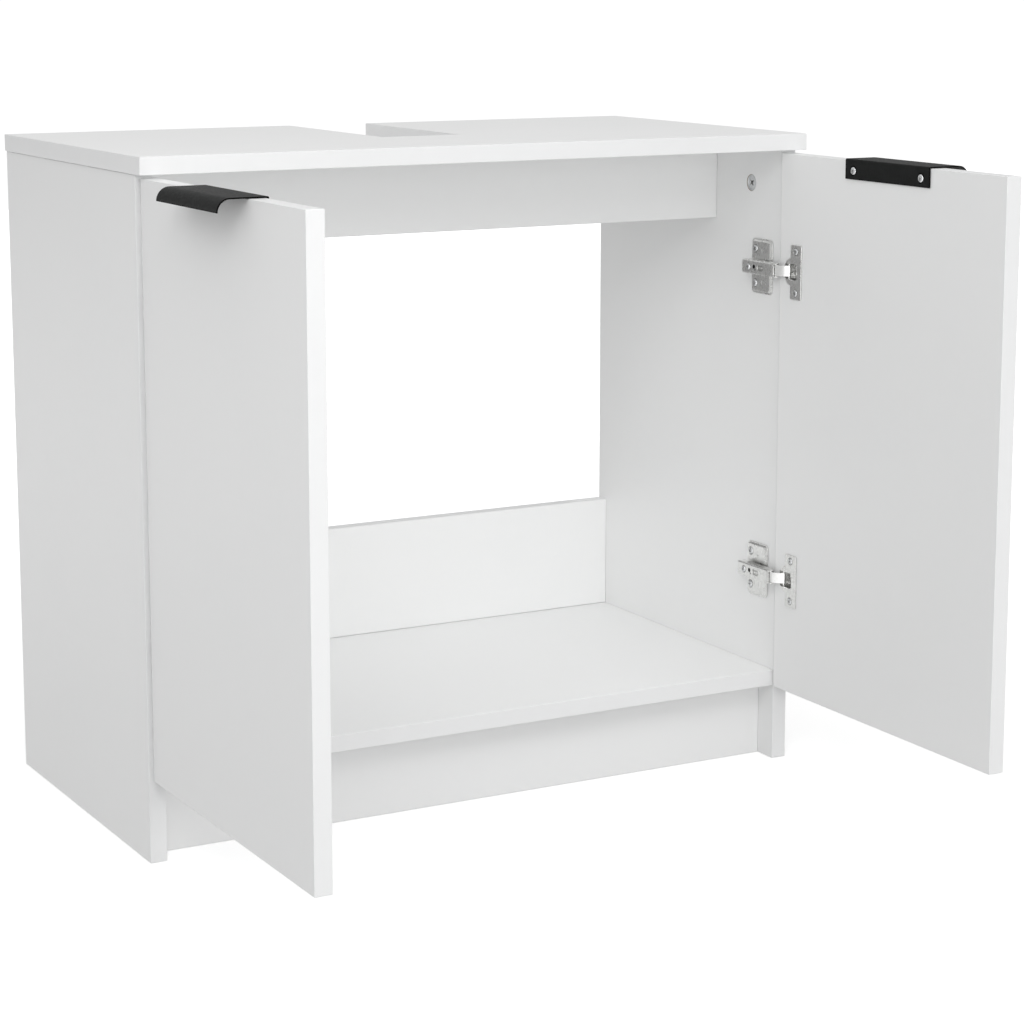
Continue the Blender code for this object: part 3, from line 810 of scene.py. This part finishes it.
def mounting_plate(tag, side, z0):
    """Pressed wing plate: an outer rim, sloped shoulders, a raised middle and the rail."""
    b, f, h = PLATE_BACK, PLATE_FRONT, PLATE_HALF
    place = lambda a, bb, height: uvz(height, a, z0 + bb)
    levels = [
        (0.3, b + 0.15, f - 0.15, -h + 0.15, h - 0.15, 3.9),
        (0.45, b, f, -h, h, 4.0),
        (1.0, b, f, -h, h, 4.0),
        (1.18, b + 0.1, f - 0.1, -h + 0.1, h - 0.1, 3.9),
        (1.25, b + 0.3, f - 0.3, -h + 0.3, h - 0.3, 3.7),
        (1.27, b + 0.9, f - 0.7, -h + 1.1, h - 1.1, 3.2),
        (1.45, b + 1.1, f - 1.0, -h + 1.5, h - 1.5, 3.0),
        (2.3, b + 1.6, f - 2.9, -h + 2.6, h - 2.6, 2.4),
        (2.42, b + 1.8, f - 3.2, -h + 2.9, h - 2.9, 2.2),
    ]
    obj = solid(tag + "_plate_pressing", sided(raised(levels, place), side), NICKEL, NICKEL_PAINTED_HOLE_SHADE)
    rail = [
        (0.6, b + 1.5, f - 1.5, -4.8, 4.8, 0.9),
        (10.3, b + 1.5, f - 1.5, -4.8, 4.8, 0.9),
        (10.7, b + 1.7, f - 1.7, -4.5, 4.5, 0.7),
        (10.9, b + 2.1, f - 2.1, -4.1, 4.1, 0.5),
    ]
    add(obj, side, (raised(rail, place), NICKEL))
    tools = []
    for dz in (-PLATE_SCREW_Z, PLATE_SCREW_Z):
        # Counterbored hole for the plate screw, painted darker nickel as painted shade.
        profile = [(0, -0.5), (4.1, -0.5), (4.0, 0.0), (3.75, 0.45), (2.2, 0.5), (2.2, 3.5), (0, 3.5)]
        tools.append(
            (turned(profile, 36, uvz(2.45, PLATE_SCREW_V, z0 + dz), (1, 0, 0)), NICKEL_PAINTED_HOLE_SHADE)
        )
        # The punched slot beside it and the round pressing mark.
        tools.append(
            (
                turned(
                    [(0, -0.5), (2.3, -0.5), (2.2, 0.0), (1.7, 0.28), (0.9, 0.4), (0, 0.42)],
                    28,
                    uvz(2.42, -25.5, z0 + dz * 0.92),
                    (1, 0, 0),
                ),
                NICKEL,
            )
        )
    # The arm screw's hole is painted darker nickel: painted shade.
    tools.append((rod(1.9, uvz(3, ARM_SCREW_V, z0), uvz(13, ARM_SCREW_V, z0), 24), NICKEL_PAINTED_HOLE_SHADE))
    # The adjuster's hole, under the one in the arm, painted near black as painted shade.
    tools.append((rod(2.05, uvz(4, ARM_HOLE_V, z0 + 0.6), uvz(13, ARM_HOLE_V, z0 + 0.6), 24), NICKEL_PAINTED_DEEP_SHADE))
    cut(obj, side, *tools)
    return piece(obj, "carcass", "nickel_hinge", tag + "_mounting_plate")


def hinge_arm(tag, side, z0):
    """A folded channel over the rail, with round folds, a pressed slot, the screw's
    keyhole and the nose that holds the link's pin."""
    wall = 1.2
    # Cross-section in (z, u), open towards the side panel, round at the two folds.
    section = []
    r_out, r_in = 1.5, 0.35
    low_u = 4.5

    def fold(cz, cu, r, a0, a1, n=6):
        return [
            (
                cz + r * math.cos(math.radians(a0 + (a1 - a0) * i / n)),
                cu + r * math.sin(math.radians(a0 + (a1 - a0) * i / n)),
            )
            for i in range(n + 1)
        ]

    section += [(ARM_HALF - 0.15, low_u), (ARM_HALF, low_u + 0.15)]
    section += fold(ARM_HALF - r_out, ARM_TOP - r_out, r_out, 0, 90)
    section += fold(-ARM_HALF + r_out, ARM_TOP - r_out, r_out, 90, 180)
    section += [(-ARM_HALF, low_u + 0.15), (-ARM_HALF + 0.15, low_u)]
    inner = ARM_HALF - wall
    section += [(-inner - 0.15, low_u), (-inner, low_u + 0.15)]
    section += fold(-inner + r_in, ARM_TOP - 1.3 - r_in, r_in, 180, 90, 3)
    section += fold(inner - r_in, ARM_TOP - 1.3 - r_in, r_in, 90, 0, 3)
    section += [(inner, low_u + 0.15), (inner + 0.15, low_u)]
    obj = solid(
        tag + "_arm_channel",
        sided(
            loft(
                [[(z, u, v) for z, u in section] for v in (ARM_BACK, ARM_FRONT)],
                lambda z, u, v: uvz(u, v, z0 + z),
            ),
            side,
        ),
        NICKEL,
        NICKEL_PAINTED_HOLE_SHADE,
    )
    # The nose: the web ends, and the cheeks run on, rounded, with their lower edge raised.
    tools = []
    web_end = 6.5
    web_cut = [(-inner, 9.0), (inner, 9.0), (inner, 15.0), (-inner, 15.0)]
    tools.append(
        (
            loft(
                [[(z, u, v) for z, u in web_cut] for v in (web_end, ARM_FRONT + 2)],
                lambda z, u, v: uvz(u, v, z0 + z),
            ),
            NICKEL,
        )
    )
    lower = [(3.0, 1.5), (4.5, 1.5), (5.6, 1.9), (6.3, 2.8), (6.3, ARM_FRONT - 1.4)]
    lower += [
        (
            7.9 - 1.6 * math.cos(math.radians(90 * i / 6)),
            ARM_FRONT - 1.5 + 1.5 * math.sin(math.radians(90 * i / 6)),
        )
        for i in range(1, 7)
    ]
    lower += [(7.9, ARM_FRONT + 2), (3.0, ARM_FRONT + 2)]
    tools.append(
        (
            loft(
                [[(u, v, z) for u, v in lower] for z in (-ARM_HALF - 2, ARM_HALF + 2)],
                lambda u, v, z: uvz(u, v, z0 + z),
            ),
            NICKEL,
        )
    )
    upper = [(ARM_TOP - 2.3, ARM_FRONT), (ARM_TOP - 1.4, 8.2), (ARM_TOP - 0.5, 6.3), (ARM_TOP, 3.4)]
    upper += [(ARM_TOP + 2, 3.4), (ARM_TOP + 2, ARM_FRONT + 2), (ARM_TOP - 2.3, ARM_FRONT + 2)]
    tools.append(
        (
            loft(
                [[(u, v, z) for u, v in upper] for z in (-ARM_HALF - 2, ARM_HALF + 2)],
                lambda u, v, z: uvz(u, v, z0 + z),
            ),
            NICKEL,
        )
    )
    face = lambda a, b, height: uvz(height, a, z0 + b)
    # Keyhole for the arm's screw, the small adjuster hole and the pressed slot; all are painted darker than the
    # arm as painted shade.
    tools.append((rod(1.9, uvz(5, ARM_SCREW_V, z0), uvz(15, ARM_SCREW_V, z0), 28), NICKEL_PAINTED_HOLE_SHADE))
    tools.append(
        (
            turned(
                [(0, -1.0), (3.55, -1.0), (3.5, 0.0), (3.2, 0.3), (1.9, 0.36), (1.9, 0.4), (0, 0.4)],
                36,
                uvz(ARM_TOP, ARM_SCREW_V, z0),
                (1, 0, 0),
            ),
            NICKEL_PAINTED_HOLE_SHADE,
        )
    )
    # The adjuster hole is painted near black: painted shade.
    tools.append((rod(1.95, uvz(10, ARM_HOLE_V, z0 + 0.6), uvz(15, ARM_HOLE_V, z0 + 0.6), 28), NICKEL_PAINTED_DEEP_SHADE))
    tools.append((rod(0.8, uvz(11, -22.6, z0 - 2.2), uvz(15, -22.6, z0 - 2.2), 20), NICKEL_PAINTED_HOLE_SHADE))
    # The pressed slot is painted mid-grey nickel: painted shade.
    tools.append(
        (
            capsule(-19.6, -9.5, 0.0, 2.4, ARM_TOP - 0.8, ARM_TOP + 0.5, face, flare=0.5),
            NICKEL_PAINTED_SLOT_SHADE,
        )
    )
    cut(obj, side, *tools)
    # A raised bead inside the pressed slot, the link's pin and its two riveted ends.
    add(
        obj,
        side,
        (
            capsule(-18.0, -11.3, 0.0, 0.9, ARM_TOP - 1.0, ARM_TOP - 0.3, face, flare=-0.3),
            NICKEL,
        ),
    )
    reach = ARM_HALF + 0.35
    profile = [(0, -reach), (1.3, -reach), (1.6, -reach + 0.15), (1.6, -ARM_HALF + 0.1), (1.0, -ARM_HALF + 0.1)]
    profile += [(1.0, ARM_HALF - 0.1), (1.6, ARM_HALF - 0.1), (1.6, reach - 0.15), (1.3, reach), (0, reach)]
    add(
        obj,
        side,
        (turned(profile, 24, uvz(ARM_PIN_U, ARM_PIN_V, z0), (0, 0, 1)), LINK),
    )
    return piece(obj, "carcass", "nickel_hinge", tag + "_hinge_arm")


def hinge_cup(tag, side, z0):
    """Pressed cup: the flange screwed to the door, the rolled rim, the bowl, the mouth's
    two shoulders and the pin across them."""
    body = side + "_door_leaf"
    place = lambda a, b, height: enz(a, -height, z0 + b)
    e0, e1, h = FLANGE_E0, FLANGE_E1, FLANGE_HALF
    levels = [
        (0.3, e0 + 0.1, e1 - 0.1, -h + 0.1, h - 0.1, 1.6),
        (0.4, e0, e1, -h, h, 1.7),
        (1.15, e0, e1, -h, h, 1.7),
        (1.4, e0 + 0.1, e1 - 0.1, -h + 0.1, h - 0.1, 1.6),
        (1.5, e0 + 0.35, e1 - 0.35, -h + 0.35, h - 0.35, 1.4),
    ]
    obj = solid(tag + "_cup_pressing", sided(raised(levels, place), side), NICKEL, NICKEL_PAINTED_HOLE_SHADE)
    # Bowl with a rolled rim, spun about the bore's axis.
    r = CUP_R
    rim = 1.25
    profile = [(0, -CUP_DEEP), (r - 1.2, -CUP_DEEP), (r - 0.35, -CUP_DEEP + 0.35), (r, -CUP_DEEP + 1.2)]
    profile += [(r, 0.32), (r, 0.5)]
    profile += [(r - 0.1, rim - 0.25), (r - 0.3, rim - 0.06), (r - 0.6, rim), (0, rim)]
    add(obj, side, (turned(profile, 72, enz(CUP_E, 0, z0), (-1, 0, 0)), NICKEL))
    inside = CUP_R - 0.6
    shoulder_e, shoulder_z = 14.8, 7.0
    arc_to = math.acos((CUP_E - shoulder_e) / inside)
    arc_from = math.asin(shoulder_z / inside)

    def ring(a0, a1, count):
        return [
            (
                CUP_E - inside * math.cos(a0 + (a1 - a0) * i / count),
                inside * math.sin(a0 + (a1 - a0) * i / count),
            )
            for i in range(count + 1)
        ]

    outline = ring(-arc_from, arc_from, 14) + [(shoulder_e, shoulder_z)]
    outline += ring(arc_to, 2 * math.pi - arc_to, 44) + [(shoulder_e, -shoulder_z)]

    def shrunk(by):
        points = []
        for e, z in outline:
            away = Vector((CUP_E - e, -z)).normalized() * by
            points.append((e + away.x, z + away.y))
        return points

    # The bowl's hollow stops under a thin lip; the mouth in the lip is narrower.
    lip = 0.25
    hollow = [
        [(e, z, height) for e, z in shrunk(by)]
        for height, by in (
            (-CUP_DEEP + 0.6, 1.2),
            (-CUP_DEEP + 0.9, 0.5),
            (-CUP_DEEP + 1.7, 0.0),
            (-lip, 0.0),
            (0.05, 0.15),
        )
    ]
    near = math.asin(MOUTH_HALF / inside)
    r = 2.6
    mouth = [
        (CUP_E - inside * math.cos(a), inside * math.sin(a))
        for a in (-near + 2 * near * i / 14 for i in range(15))
    ]
    for cz, start in ((MOUTH_HALF - r, 90), (-MOUTH_HALF + r, 0)):
        for i in range(9):
            a = math.radians(start - 90 * i / 8)
            mouth.append((MOUTH_END - r + r * math.cos(a), cz + r * math.sin(a)))
    middle = Vector(((CUP_E - inside + MOUTH_END) / 2, 0.0))

    def eased(by):
        points = []
        for e, z in mouth:
            off = Vector((e, z)) - middle
            points.append(tuple(middle + off * (1 + by / off.length)))
        return points

    opening = [
        [(e, z, height) for e, z in eased(by)]
        for height, by in ((-1.2, 0.0), (rim - 0.35, 0.0), (rim - 0.1, 0.12), (rim + 0.4, 0.45))
    ]
    # A relief in the rim, where the link comes to lie when the door is fully open.
    relief = [(5.5, -5.4), (10.4, -5.4), (10.4, 5.4), (5.5, 5.4)]
    relief = [[(e, z, height) for e, z in relief] for height in (0.5, 2.5)]
    tools = [(loft(hollow, place), NICKEL), (loft(opening, place), NICKEL)]
    tools.append((loft(relief, place), NICKEL))
    # The cup screws' counterbores are painted darker nickel: painted shade.
    for dz in (-CUP_SCREW_Z, CUP_SCREW_Z):
        profile = [(0, -0.5), (3.75, -0.5), (3.7, 0.0), (3.4, 0.35), (1.8, 0.4), (1.8, 3.5), (0, 3.5)]
        tools.append(
            (turned(profile, 36, enz(CUP_SCREW_E, -1.5, z0 + dz), (1, 0, 0)), NICKEL_PAINTED_HOLE_SHADE)
        )
    cut(obj, side, *tools)
    # The spring's housing, pressed up from the bowl's floor.
    levels = [
        (-CUP_DEEP + 0.3, 22.0, 31.0, -3.1, 3.1, 1.6),
        (-CUP_DEEP + 2.4, 22.4, 30.6, -2.9, 2.9, 1.5),
        (-CUP_DEEP + 2.9, 22.8, 30.2, -2.5, 2.5, 1.2),
    ]
    add(obj, side, (raised(levels, place), NICKEL))
    reach = 8.5
    add(
        obj,
        side,
        (rod(1.0, enz(PIVOT_E, PIVOT_D, z0 - reach), enz(PIVOT_E, PIVOT_D, z0 + reach), 24), LINK),
    )
    return piece(obj, body, "nickel_hinge", tag + "_hinge_cup")


def hinge_link(tag, side, z0):
    """The bright bar between the two pins, with rolled eyes at both ends."""
    start = Vector((ARM_PIN_U, ARM_PIN_V))
    along = Vector((CUP_PIN_U, CUP_PIN_V)) - start
    length = along.length
    along.normalize()
    out = Vector((along.y, -along.x))

    def place(a, b, z):
        point = start + along * a + out * b
        return uvz(point.x, point.y, z0 + z)

    half = 4.9
    # The outer face of the bar: straight in the middle and easing round both eyes.
    ro, rc = 2.1, 1.9
    outline = []
    for i in range(13):
        at = math.radians(250 - 160 * i / 12)
        outline.append((ro * math.cos(at), ro * math.sin(at)))
    outline += [(1.2, 2.55), (length * 0.35, 2.8), (length * 0.65, 2.8), (length - 1.2, 2.5)]
    for i in range(13):
        at = math.radians(90 - 160 * i / 12)
        outline.append((length + rc * math.cos(at), rc * math.sin(at)))
    outline += [(length - 1.6, 1.0), (length * 0.5, 1.25), (1.7, 1.0)]
    levels = ((-half, 0.93), (-half + 0.12, 0.985), (-half + 0.3, 1.0), (half - 0.3, 1.0), (half - 0.12, 0.985), (half, 0.93))
    middle = Vector((length / 2, 1.3))
    rings = []
    for z, share in levels:
        rings.append(
            [
                (
                    middle.x + (a - middle.x) * (1 - (1 - share) * 0.35),
                    middle.y + (b - middle.y) * share,
                    z,
                )
                for a, b in outline
            ]
        )
    obj = solid(
        tag + "_link_bar", sided(loft(rings, place), side), LINK, NICKEL_PAINTED_HOLE_SHADE
    )
    gap = [(-4.5, -4.5), (length + 4.5, -4.5), (length + 4.5, 1.1), (-4.5, 1.1)]
    tools = [
        (loft([[(a, b, z) for a, b in gap] for z in (-3.6, 3.6)], place), LINK),
    ]
    # The pin holes are painted darker nickel: painted shade.
    for at in (0.0, length):
        tools.append((rod(1.25, place(at, 0, -8), place(at, 0, 8), 28), NICKEL_PAINTED_HOLE_SHADE))
    cut(obj, side, *tools)
    return piece(obj, side + "_hinge_links", "bright_link", tag + "_hinge_link")


TWISTS = {"left": 17.0, "right": 41.0}
for side in ("left", "right"):
    twist = TWISTS[side]
    for end, at in zip(("front", "rear"), CAM_AT):
        cam_fitting(f"{side}_{end}_cam", side, at, twist + (0 if end == "front" else 50))
    handle(side)
    for label, e in zip(("inner", "outer"), HANDLE_SCREW_E):
        screw(
            f"{side}_handle_screw_{label}",
            side,
            side + "_door_leaf",
            enz(e, HANDLE_LO.x - DOOR_IN + 0.32, HANDLE_SCREW_Z),
            3.5,
            1.6,
            1.4,
            11.0,
            twist + (0 if label == "inner" else 33),
        )
    for level, z0 in zip(("upper", "lower"), HINGE_Z):
        tag = f"{side}_{level}"
        mounting_plate(tag, side, z0)
        hinge_arm(tag, side, z0)
        hinge_cup(tag, side, z0)
        hinge_link(tag, side, z0)
        for label, dz, turn in (("top", 1, 12), ("bottom", -1, 63)):
            screw(
                f"{tag}_plate_screw_{label}",
                side,
                "carcass",
                uvz(2.05, PLATE_SCREW_V, z0 + dz * PLATE_SCREW_Z),
                3.45,
                1.7,
                1.35,
                12.0,
                twist + turn,
            )
            screw(
                f"{tag}_cup_screw_{label}",
                side,
                side + "_door_leaf",
                enz(CUP_SCREW_E, -1.2, z0 + dz * CUP_SCREW_Z),
                3.1,
                1.1,
                1.25,
                11.0,
                twist - turn,
            )
        screw(
            f"{tag}_arm_screw",
            side,
            "carcass",
            uvz(ARM_TOP - 0.3, ARM_SCREW_V, z0),
            3.0,
            1.7,
            1.5,
            5.5,
            twist + 25,
        )


# ---------------------------------------------------------------------------
# Stage, light and camera
# ---------------------------------------------------------------------------
def floor():
    bm = bmesh.new()
    bmesh.ops.create_grid(bm, x_segments=1, y_segments=1, size=1.0)
    bmesh.ops.scale(bm, vec=(6.0, 6.0, 1.0), verts=bm.verts)
    bmesh.ops.translate(bm, vec=(0.0, 0.0, -0.0002), verts=bm.verts)
    mesh = bpy.data.meshes.new("floor")
    bm.to_mesh(mesh)
    bm.free()
    obj = bpy.data.objects.new("floor", mesh)
    scene.collection.objects.link(obj)
    m = Nodes("pale_floor")
    m.colour(m.between(m.noise(1.5, 2.0), (0.94, 0.94, 0.94), (0.95, 0.95, 0.95)))
    m.rough(m.spread(m.noise(3.0, 2.0), 0.85, 0.95))
    m.set(Specular_IOR_Level=0.1)
    # The white sweep glows a little, and more with distance, so it runs into the backdrop.
    away = m.node("ShaderNodeVectorMath", operation="LENGTH")
    m.link(m.coords, away.inputs[0])
    m.shader.inputs["Emission Color"].default_value = (1, 1, 1, 1)
    m.link(
        m.spread(away.outputs["Value"], FLOOR_GLOW, 0.8, 0.6, 1.8),
        m.shader.inputs["Emission Strength"],
    )
    mesh.materials.append(m.material)
    # The light that comes up from the sweep is part of the world's, below.
    obj.visible_diffuse = False
    obj.visible_shadow = False
    return obj


def grey_card():
    """A grey card behind the cabinet, which only the glossy metal sees, as a
    photographer puts one there so that plating doesn't wash out."""
    bm = bmesh.new()
    corners = [(-0.3, 0.37, 0.1), (0.3, 0.37, 0.1), (0.3, 0.37, 0.56), (-0.3, 0.37, 0.56)]
    bm.faces.new([bm.verts.new(corner) for corner in corners])
    mesh = bpy.data.meshes.new("grey_card")
    bm.to_mesh(mesh)
    bm.free()
    obj = bpy.data.objects.new("grey_card", mesh)
    scene.collection.objects.link(obj)
    m = Nodes("grey_card")
    m.colour(m.between(m.noise(3.0, 1.0), (0.02, 0.02, 0.02), (0.03, 0.03, 0.03)))
    m.shader.inputs["Emission Color"].default_value = (1, 1, 1, 1)
    m.shader.inputs["Emission Strength"].default_value = CARD_GLOW
    mesh.materials.append(m.material)
    obj.visible_camera = False
    obj.visible_diffuse = False
    obj.visible_shadow = False
    obj.visible_transmission = False
    return obj


CARD_GLOW = 0.25
FLOOR_GLOW = 0.3
# World light by direction: a flat part and soft lobes, (axis, sign, power, strength).
WORLD_FLAT = 0.41
WORLD_LOBES = [
    ("Z", 1, 2.0, 0.47),
    ("Y", -1, 2.0, 0.03),
    ("X", -1, 2.0, 0.02),
]


def world():
    made = bpy.data.worlds.new("soft_studio")
    scene.world = made
    made.use_nodes = True
    tree = made.node_tree
    tree.nodes.clear()
    coords = tree.nodes.new("ShaderNodeTexCoord")
    split = tree.nodes.new("ShaderNodeSeparateXYZ")
    tree.links.new(coords.outputs["Generated"], split.inputs["Vector"])
    total = None

    def math_node(operation, a, b, c=None):
        node = tree.nodes.new("ShaderNodeMath")
        node.operation = operation
        for socket, value in zip(node.inputs, (a, b, c)):
            if value is None:
                continue
            if isinstance(value, (int, float)):
                socket.default_value = value
            else:
                tree.links.new(value, socket)
        return node.outputs[0]

    total = WORLD_FLAT
    for axis, sign, power, strength in WORLD_LOBES:
        share = math_node("MULTIPLY_ADD", split.outputs[axis], 0.5 * sign, 0.5)
        lobe = math_node("POWER", math_node("MAXIMUM", share, 0.0), power)
        total = math_node("MULTIPLY_ADD", lobe, strength, total)
    light = tree.nodes.new("ShaderNodeBackground")
    tree.links.new(total, light.inputs["Strength"])
    light.inputs["Color"].default_value = (1, 1, 1, 1)
    white = tree.nodes.new("ShaderNodeBackground")
    white.inputs["Color"].default_value = (1, 1, 1, 1)
    white.inputs["Strength"].default_value = 1.05
    path = tree.nodes.new("ShaderNodeLightPath")
    mix = tree.nodes.new("ShaderNodeMixShader")
    tree.links.new(path.outputs["Is Camera Ray"], mix.inputs["Fac"])
    tree.links.new(light.outputs[0], mix.inputs[1])
    tree.links.new(white.outputs[0], mix.inputs[2])
    out = tree.nodes.new("ShaderNodeOutputWorld")
    tree.links.new(mix.outputs[0], out.inputs["Surface"])


# (name, position, target, size, watts)
LIGHTS = [
    ("front_high_softbox", (0.2, -1.8, 2.2), (0.0, 0.0, 0.3), 1.3, 7.0),
    ("front_low_softbox", (-0.1, -2.6, 0.7), (0.0, 0.0, 0.3), 1.2, 11.0),
    ("near_left_softbox", (-0.95, -1.25, 1.35), (-0.32, -0.15, 0.3), 0.8, 6.2),
    ("carcass_fill", (0.05, 0.1, 0.49), (0.05, 0.16, 0.1), 0.16, 0.125),
]


def lights():
    for name, position, target, size, watts in LIGHTS:
        lamp = bpy.data.lights.new(name, "AREA")
        lamp.shape = "DISK"
        lamp.size = size
        lamp.energy = watts
        if name == "carcass_fill":
            lamp.specular_factor = 0.0
        obj = bpy.data.objects.new(name, lamp)
        scene.collection.objects.link(obj)
        obj.location = position
        aim = Vector(target) - Vector(position)
        obj.rotation_euler = aim.to_track_quat("-Z", "Y").to_euler()


def camera():
    lens = bpy.data.cameras.new("camera")
    obj = bpy.data.objects.new("camera", lens)
    scene.collection.objects.link(obj)
    lens.sensor_width = 36.0
    lens.lens = 93.03
    lens.shift_y = -0.09
    lens.clip_start, lens.clip_end = 0.05, 60.0
    obj.location = (-1.078368, -2.007983, 0.738225)
    obj.rotation_euler = (math.pi / 2 - 0.1682, 0.0, -0.5022)
    scene.camera = obj


floor()
grey_card()
world()
lights()
camera()
scene.cycles.diffuse_bounces = 10
scene.view_settings.view_transform = "Standard"
scene.view_settings.look = "None"
